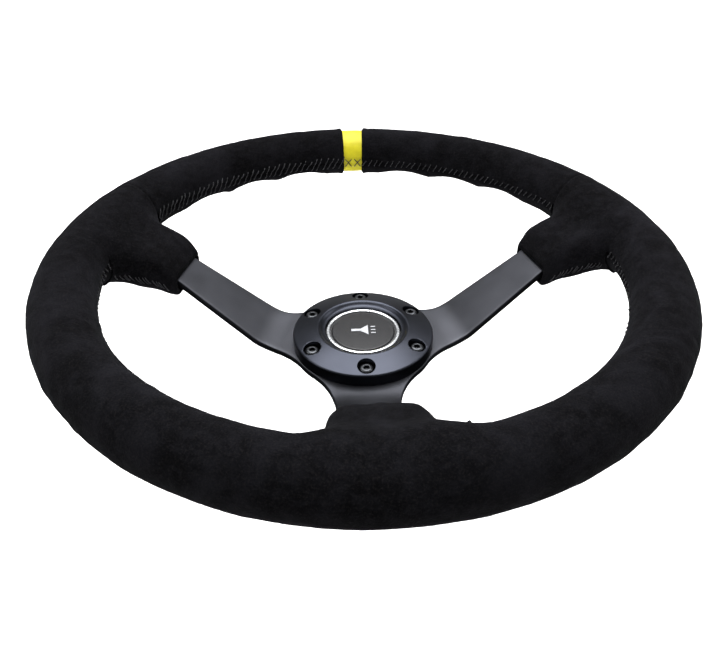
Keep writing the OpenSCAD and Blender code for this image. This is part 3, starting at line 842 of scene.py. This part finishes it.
def lacing():
    """All visible stitches: slanted threads over the inner seam of the grip, and whip stitches under the sleeves."""
    draw = np.random.default_rng(31)
    mm_per_deg = math.pi * (RIM_R - GRIP_A) / 180
    groups = []
    spans = (
        (MARKER_HALF + 0.9, turn_right - half_side - 0.6, [right], 0.8),
        (-MARKER_HALF - 0.9, turn_left + half_side + 0.6, [left], -1.4),
        (turn_right + half_side + 0.8, turn_low - half_low - 3.0, [right, bottom], 0.8),
        (turn_left - half_side - 0.8, -turn_low + half_low + 3.0, [left, bottom], 0.8),
    )
    for turn0, turn1, sleeves, reach in spans:
        count = int(abs(turn1 - turn0) * mm_per_deg / STITCH)
        turn = np.linspace(turn0, turn1, count) + draw.normal(0, 0.1, count)
        slant = 1.5 * np.sign(turn1 - turn0) * reach * draw.uniform(0.8, 1.2, count)
        wide = 11.0 * abs(reach) * draw.uniform(0.75, 1.2, count)
        a = grip_point(turn - slant / 2, LANE + wide)
        b = grip_point(turn + slant / 2, LANE - wide)
        groups.append(stitches(a, b, sleeves))
    # crossed threads over the marker band
    turn = np.linspace(-MARKER_HALF + 1.2, MARKER_HALF - 1.2, 2)
    for sign in (1, -1):
        a = grip_point(turn - 0.9 * sign, 0 * turn + 196)
        b = grip_point(turn + 0.9 * sign, 0 * turn + 176)
        groups.append(stitches(a, b, [], arch=-0.55))
    # whip stitches along the lower side of each side sleeve
    for direction, side in ((right, -1.0), (left, 1.0)):
        along, across = sleeve_axes(direction)
        form = sleeve_form(direction)
        s = np.linspace(SLEEVE_S + 5, 140.0, 13)
        w, h, mid, r = sleeve_section(s, form)
        y = side * w
        z = mid - h * 0.3
        core = s[:, None] * along + y[:, None] * across + z[:, None] * UP
        jig = draw.uniform(-1.2, 1.2, (len(s), 1))
        a = core + along * (1.6 + jig) + np.array([0, 0, 2.6]) * (1 + jig * 0.3)
        b = core - along * (1.6 - jig) - np.array([0, 0, 2.6]) * (1 - jig * 0.3)
        groups.append(stitches(a, b, [direction], arch=0.45))
    points, faces = tubes(np.concatenate(groups), THREAD_R, 7)
    return mesh_piece("seam_lacing", points, faces, THREAD, "wheel", ["seam_thread"])


lacing()

# ---------- foam under the suede ----------


def foam_ring():
    """Foam of the grip: the oval ring with its finger hollows, drawn in by 3 mm along its normals."""
    rows, cols = 400, 40
    turn = np.linspace(0, 360, rows, endpoint=False)
    v = np.linspace(0, 360, cols, endpoint=False)
    p = settle(grip_grid(turn, v).reshape(-1, 3), [], 5)
    p = p - 3.0 * outwards(p, [])
    piece = mesh_piece("foam_grip", p, grid_faces(rows, cols, True, True), FOAM, "wheel",
                       ["rim_padding"])


def foam_sleeve(name, direction, stands_for):
    """Foam of one sleeve: its rounded section drawn in by 2.4 mm and carried along the spoke, closed at both ends."""
    along, across = sleeve_axes(direction)
    s = np.linspace(SLEEVE_S + 3.0, 146.0, 24)
    rows = [section_loop(x, sleeve_form(direction), along, across, 72, 2.4) for x in s]
    ends = [rows[0].mean(axis=0, keepdims=True) + 0 * rows[0], rows[-1].mean(axis=0, keepdims=True) + 0 * rows[-1]]
    grid = np.stack([ends[0], *rows, ends[1]])
    piece = mesh_piece(name, grid, grid_faces(len(grid), 72, wrap_cols=True), FOAM, "wheel",
                       [stands_for])


foam_ring()
foam_sleeve("foam_sleeve_right", right, "sleeve_padding_right")
foam_sleeve("foam_sleeve_left", left, "sleeve_padding_left")
foam_sleeve("foam_sleeve_bottom", bottom, "sleeve_padding_bottom")

# ---------- spoke plate ----------


def spoke_strip(direction):
    """One spoke with its webs: a rounded bar section carried along a path that bends up softly at the fold.

    The path is flat, then an arc of bend_r, then a straight slope; the half width follows the web's
    circle and then the taper. The section's corners are rounded by edge.
    """
    bend_r = 30.0
    edge = 0.75
    mid = PLATE_T / 2
    k = bend_r * math.tan(SLOPE / 2)
    start, end = 30.0, 133.0
    flat_s = np.linspace(start, FOLD_S - k, 34)
    turn = np.linspace(0, SLOPE, 14)[1:]
    bend = np.stack([FOLD_S - k + bend_r * np.sin(turn), mid + bend_r * (1 - np.cos(turn))], axis=1)
    s_up = np.linspace(FOLD_S + k * math.cos(SLOPE), end, 50)[1:]
    up = np.stack([s_up, mid + (s_up - FOLD_S) * math.tan(SLOPE)], axis=1)
    path = np.vstack([np.stack([flat_s, 0 * flat_s + mid], axis=1), bend, up])
    lean = np.concatenate([0 * flat_s, turn, 0 * s_up + SLOPE])
    cy = HALF_IN + WEB_R
    cx = math.sqrt((HUB_R + WEB_R) ** 2 - cy**2)
    s = path[:, 0]
    taper = HALF_IN + (HALF_OUT - HALF_IN) * (s - cx) / (SLEEVE_S - cx)
    web = cy - np.sqrt(np.clip(WEB_R**2 - (np.minimum(s, cx) - cx) ** 2, 0, None))
    half = np.where(s < cx, web, taper)
    y_flat = np.linspace(-1, 1, 15)
    corner = arc(0, 0, edge, 90, 0, 4)
    h = PLATE_T / 2
    n = len(s)
    inner = (half - edge)[:, None]
    top_y, top_v = inner * y_flat, np.full((n, len(y_flat)), h)
    c = corner[1:]
    right_y = inner + c[:, 0]
    right_v = (h - edge) + c[:, 1] + 0 * inner
    side_y, side_v = inner + edge, 0 * inner
    y = np.hstack([top_y, right_y, side_y, right_y[:, ::-1], top_y[:, ::-1], -right_y, -side_y, -right_y[:, ::-1]])
    v = np.hstack([top_v, right_v, side_v, -right_v[:, ::-1], -top_v, -right_v, side_v, right_v[:, ::-1]])
    along, across = sleeve_axes(direction)
    lean = lean[:, None]
    out = path[:, :1] - v * np.sin(lean)
    rise = path[:, 1:] + v * np.cos(lean)
    grid = out[..., None] * along + y[..., None] * across + rise[..., None] * UP
    first, last = grid[:1].mean(axis=1, keepdims=True), grid[-1:].mean(axis=1, keepdims=True)
    grid = np.concatenate([np.repeat(first, y.shape[1], axis=1), grid, np.repeat(last, y.shape[1], axis=1)])
    return grid.reshape(-1, 3), grid_faces(len(grid), y.shape[1], wrap_cols=True)


def spoke_plate():
    """Hub disc with its centre hole and the three spokes that grow out of it."""
    edge = 0.6
    disc = np.vstack([
        arc(HUB_R - edge, PLATE_T - edge, edge, 90, 0, 4), arc(HUB_R - edge, edge, edge, 0, -90, 4),
        arc(PLATE_BORE_R + edge, edge, edge, 270, 180, 3), arc(PLATE_BORE_R + edge, PLATE_T - edge, edge, 180, 90, 3)])
    # a flat ring from the centre hole to the hub's edge, turned in 180 steps
    grid = lathe(disc, 180)
    rings = grid_faces(len(grid), 180, wrap_rows=True, wrap_cols=True)
    points, faces = [grid.reshape(-1, 3)], [rings]
    offset = len(points[0])
    for direction in SPOKE_DIRS:
        p, f = spoke_strip(direction)
        points.append(p)
        faces.append(f + offset)
        offset += len(p)
    return mesh_piece("spokes_and_hub", np.concatenate(points), np.concatenate(faces), PLATE, "wheel",
                      ["spoke_plate"], sharp=50)


spoke_plate()

# ---------- clamping ring ----------


def dome_height(r):
    """Height of the ring's domed face at radius r."""
    return RIDGE_Z - (r * r - RIDGE_R**2) / (2 * DOME_R)


def cut(piece, cutters):
    """Cuts closed shapes out of a piece and removes them."""
    for cutter in cutters:
        step = piece.modifiers.new("cut", "BOOLEAN")
        step.operation, step.object, step.solver = "DIFFERENCE", cutter, "EXACT"
    bpy.context.view_layer.update()
    shape = bpy.data.meshes.new_from_object(piece.evaluated_get(bpy.context.evaluated_depsgraph_get()))
    piece.modifiers.clear()
    piece.data = shape
    for cutter in cutters:
        bpy.data.objects.remove(cutter)


def clamping_ring():
    """Turned ring: vertical wall, rounded edge, domed face, ridge, hollow bowl and bore, with six counterbores."""
    edge = 1.3
    shoulder = RING_R - edge
    lean = math.degrees(math.atan(shoulder / DOME_R))
    ridge = 1.3
    r_dome = np.linspace(shoulder, RIDGE_R + 0.9, 14)
    top = dome_height(shoulder)
    bowl_t = np.linspace(0, 1, 12)
    bowl_r = RIDGE_R - ridge + (BORE_R + 0.35 - RIDGE_R + ridge) * bowl_t
    bowl_z = RIDGE_Z - 0.75 - 1.45 * (1 - (1 - bowl_t) ** 2)
    profile = np.vstack([
        [[SEAT_R, PLATE_T + 0.02], [30.0, PLATE_T + 0.02], [RING_R - 0.4, PLATE_T + 0.02]],
        arc(RING_R - 0.4, PLATE_T + 0.42, 0.4, -70, 0, 3),
        np.stack([np.full(5, RING_R), np.linspace(PLATE_T + 1.2, top - edge - 0.4, 5)], axis=1),
        arc(shoulder, top - edge, edge, 0, 90 - lean, 9),
        np.stack([r_dome, dome_height(r_dome)], axis=1)[1:],
        [[RIDGE_R + 0.35, RIDGE_Z - 0.01], [RIDGE_R - 0.25, RIDGE_Z - 0.1], [RIDGE_R - 0.8, RIDGE_Z - 0.37]],
        np.stack([bowl_r, bowl_z], axis=1),
        arc(BORE_R + 0.3, bowl_z[-1] - 0.3, 0.3, 90, 180, 3),
        [[BORE_R, 11.2], [BORE_R, SHELF_Z + 0.1], [BORE_R - 0.1, SHELF_Z], [SEAT_R, SHELF_Z], [SEAT_R, 7.0]]])
    points = lathe(profile, 216)
    ring = mesh_piece("clamping_ring_turned", points, grid_faces(len(profile), 216, True, True), RING, "wheel",
                      ["clamping_ring"])
    cutters = []
    for k in range(6):
        a = math.radians(30 + 60 * k)
        bore = [[0, 8.98], [COUNTERBORE_R - 0.2, 8.98], [COUNTERBORE_R, 9.2], [COUNTERBORE_R, 20], [0, 20]]
        spot = lathe(bore, 72) + [PCD_R * math.cos(a), PCD_R * math.sin(a), 0]
        mesh = quad_mesh("bore", spot, grid_faces(len(bore), 72, wrap_cols=True), merge=1e-7)
        cutters.append(new_object("bore", mesh))
    cut(ring, cutters)
    soft = ring.modifiers.new("broken edges", "BEVEL")
    soft.width, soft.segments, soft.limit_method, soft.angle_limit = 0.22 * MM, 2, "ANGLE", math.radians(40)
    ring.data.polygons.foreach_set("use_smooth", np.ones(len(ring.data.polygons), bool))
    return ring


clamping_ring()


def ring_screws():
    """Six socket screws: domed head with a six-sided recess, and a shank whose radius follows a helical thread."""
    count = 96
    phi = 2 * np.pi * np.arange(count) / count
    seat = HEAD_Z - HEAD_H
    apothem = 1.55
    hexagon = apothem / np.cos((phi % (np.pi / 3)) - np.pi / 6)
    one = np.ones(count)
    rows = [(0 * one, SCREW_TIP * one), (1.9 * one, SCREW_TIP * one)]
    pitch = 0.8
    z_thread = np.arange(SCREW_TIP + 0.3, seat - 0.6, pitch / 7)
    for z in z_thread:
        wave = np.abs(((z / pitch - phi / (2 * np.pi)) % 1.0) * 2 - 1)
        ease = min(1.0, (z - SCREW_TIP) / 0.9)
        rows.append(((2.05 + 0.42 * wave * ease) * one, z * one))
    rows += [(2.4 * one, (seat - 0.3) * one), (2.45 * one, seat * one), ((HEAD_R - 0.15) * one, seat * one),
             (HEAD_R * one, (seat + 0.15) * one), (HEAD_R * one, (seat + 0.55) * one)]
    for t in np.radians(np.linspace(0, 90, 12)):
        rows.append(((2.35 + (HEAD_R - 2.35) * math.cos(t)) * one, (HEAD_Z - 2.2 * (1 - math.sin(t))) * one))
    rows += [(2.1 * one, HEAD_Z * one), (hexagon + 0.22, HEAD_Z * one), (hexagon + 0.1, (HEAD_Z - 0.05) * one),
             (hexagon, (HEAD_Z - 0.2) * one), (hexagon, (HEAD_Z - 1.0) * one), (hexagon, (HEAD_Z - 2.0) * one),
             (hexagon * 0.55, (HEAD_Z - 2.05) * one), (0 * one, (HEAD_Z - 2.4) * one)]
    r, z = np.stack([a for a, _ in rows]), np.stack([b for _, b in rows])
    points, faces = [], []
    one_faces = grid_faces(len(rows), count, wrap_cols=True)
    for k in range(6):
        a = math.radians(30 + 60 * k)
        spin = math.radians((17, 41, 5, 29, 52, 11)[k])
        grid = np.stack([PCD_R * math.cos(a) + r * np.cos(phi + spin), PCD_R * math.sin(a) + r * np.sin(phi + spin), z],
                        axis=-1)
        faces.append(one_faces + k * grid.shape[0] * count)
        points.append(grid.reshape(-1, 3))
    return mesh_piece("hub_screws", np.concatenate(points), np.concatenate(faces), SCREW, "wheel",
                      ["ring_screws"], sharp=40)


ring_screws()

# ---------- horn button ----------

half_trim = (TRIM_R - TRIM_IN) / 2
bead = np.vstack([
    [[TRIM_IN + 0.1, FLANGE_Z + 0.01], [TRIM_R - 0.1, FLANGE_Z + 0.01]],
    [[TRIM_R, FLANGE_Z + 0.12]],
    np.stack([(TRIM_IN + TRIM_R) / 2 + half_trim * np.cos(np.radians(np.arange(0, 181, 9))),
              FLANGE_Z + 0.5 + 0.7 * np.sin(np.radians(np.arange(0, 181, 9)))], axis=1),
    [[TRIM_IN, FLANGE_Z + 0.12]]])
mesh_piece("trim_bead", lathe(bead, 192), grid_faces(len(bead), 192, True, True), CHROME, "wheel",
           ["trim_ring"])


def button_cap():
    """Shallow domed cap: crown of 0.4 mm, a rounded rim, a skirt with a retaining lip, and a stem inside."""
    r_top = np.linspace(0, CAP_R - 0.7, 20)
    crown = np.stack([r_top, CAP_Z - 0.4 * (r_top / (CAP_R - 0.5)) ** 2], axis=1)
    edge = arc(CAP_R - 0.6, crown[-1, 1] - 0.6, 0.6, 84, 0, 6)
    skirt = [[CAP_R, 8.0], [CAP_R, 3.7], [CAP_R + 0.8, 3.1], [CAP_R + 0.85, 2.9], [CAP_R + 0.85, 1.8],
             [CAP_R + 0.7, 1.72], [CAP_R - 1.5, 1.72], [CAP_R - 1.6, 1.8], [CAP_R - 1.6, 6.0],
             [CAP_R - 1.6, CAP_Z - 2.1], [CAP_R - 1.8, CAP_Z - 2], [8.0, CAP_Z - 2], [3.2, CAP_Z - 2],
             [3.0, CAP_Z - 2.2], [3.0, 5.0], [3.0, 1.35], [2.8, 1.31], [0, 1.31]]
    profile = np.vstack([crown, edge, skirt])
    return mesh_piece("button_cap_moulded", lathe(profile, 160), grid_faces(len(profile), 160, wrap_cols=True), CAP,
                      "horn_cap", ["button_cap"], sharp=50)


button_cap()


def horn_spring():
    """Compression coil: a round wire on a helix of 5 turns whose end turns lie flat."""
    turns, lo, hi = 5, -2.1, 9.7
    wire = 0.45
    t = np.linspace(0, 1, turns * 40 + 1)
    rise = smooth_step(t, -0.12, 1.12)
    rise = (rise - rise[0]) / (rise[-1] - rise[0])
    a = 2 * np.pi * turns * t
    path = np.stack([7.4 * np.cos(a), 7.4 * np.sin(a), lo + wire + (hi - lo - 2 * wire) * rise], axis=1)
    points, faces = tubes(path[None], wire, 10)
    coil = mesh_piece("horn_coil", points, faces, SPRING, "wheel", ["horn_spring"])
    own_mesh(coil)
    return coil


horn_spring()

# ---------- floor, light and camera ----------


def floor():
    """Large pale sheet of paper well below the wheel."""
    size, z = 14.0, -0.30
    mesh = bpy.data.meshes.new("floor")
    corners = [(-size, -size, z), (size, -size, z), (size, size, z), (-size, size, z)]
    mesh.from_pydata(corners, [], [(0, 1, 2, 3)])
    sheet = new_object("floor", mesh)
    m, tree, shader = new_material("paper_matt_white", Roughness=0.9, Specular_IOR_Level=0.1)
    tone = grain(tree, place(tree), 700, 1.0)
    tree.links.new(ramp(tree, tone, [(0.3, "#fafafa"), (0.7, "#fdfdfd")]), shader.inputs["Base Color"])
    mesh.materials.append(m)
    sheet.visible_glossy = False


floor()


def soft_box(name, spot, aim, size, watts):
    """Square area light at spot, turned to aim, both in metres."""
    data = bpy.data.lights.new(name, "AREA")
    data.shape, data.size, data.energy = "SQUARE", size, watts
    lamp = new_object(name, data)
    lamp.location = spot
    lamp.rotation_euler = (Vector(aim) - Vector(spot)).to_track_quat("-Z", "Y").to_euler()
    return lamp


soft_box("overhead", (0.0, 0.45, 1.7), (0, 0, 0), 1.5, 62)
soft_box("backdrop", (0.0, 4.2, 2.6), (0, 4.6, -0.3), 3.0, 330).visible_glossy = False
soft_box("left", (-1.5, -0.2, 1.1), (0, 0, 0), 0.9, 9)
soft_box("right", (1.5, 0.3, 0.9), (0, 0, 0), 0.7, 6)

world = bpy.data.worlds.new("studio")
bpy.context.scene.world = world
world.use_nodes = True
back = world.node_tree.nodes["Background"]
back.inputs["Strength"].default_value = 0.62
sky = add(world.node_tree, "TexCoord")
height = add(world.node_tree, "SeparateXYZ", links={"Vector": sky.outputs["Generated"]}).outputs["Z"]
fall = span(world.node_tree, height, -0.12, 0.1, 0.0, 1.0)
world.node_tree.links.new(ramp(world.node_tree, fall, [(0.0, "#2c2d30"), (1.0, "#ffffff")]), back.inputs["Color"])

eye = Vector((-18.45, -330.77, 258.44)) * MM
yaw, pitch, roll = math.radians(2.8726), math.radians(-36.038), math.radians(0.074)
ahead = Vector((math.sin(yaw) * math.cos(pitch), math.cos(yaw) * math.cos(pitch), math.sin(pitch)))
side = ahead.cross(Vector((0, 0, 1))).normalized()
over = side.cross(ahead)
side, over = side * math.cos(roll) + over * math.sin(roll), over * math.cos(roll) - side * math.sin(roll)
lens = bpy.data.cameras.new("camera")
lens.sensor_fit, lens.sensor_width, lens.lens = "HORIZONTAL", 36.0, 34.548
lens.clip_start, lens.clip_end = 0.01, 50
camera = new_object("camera", lens)
turn = Matrix((side, over, -ahead)).transposed().to_4x4()
camera.matrix_world = Matrix.Translation(eye) @ turn
bpy.context.scene.camera = camera
bpy.context.scene.view_settings.view_transform = "Standard"
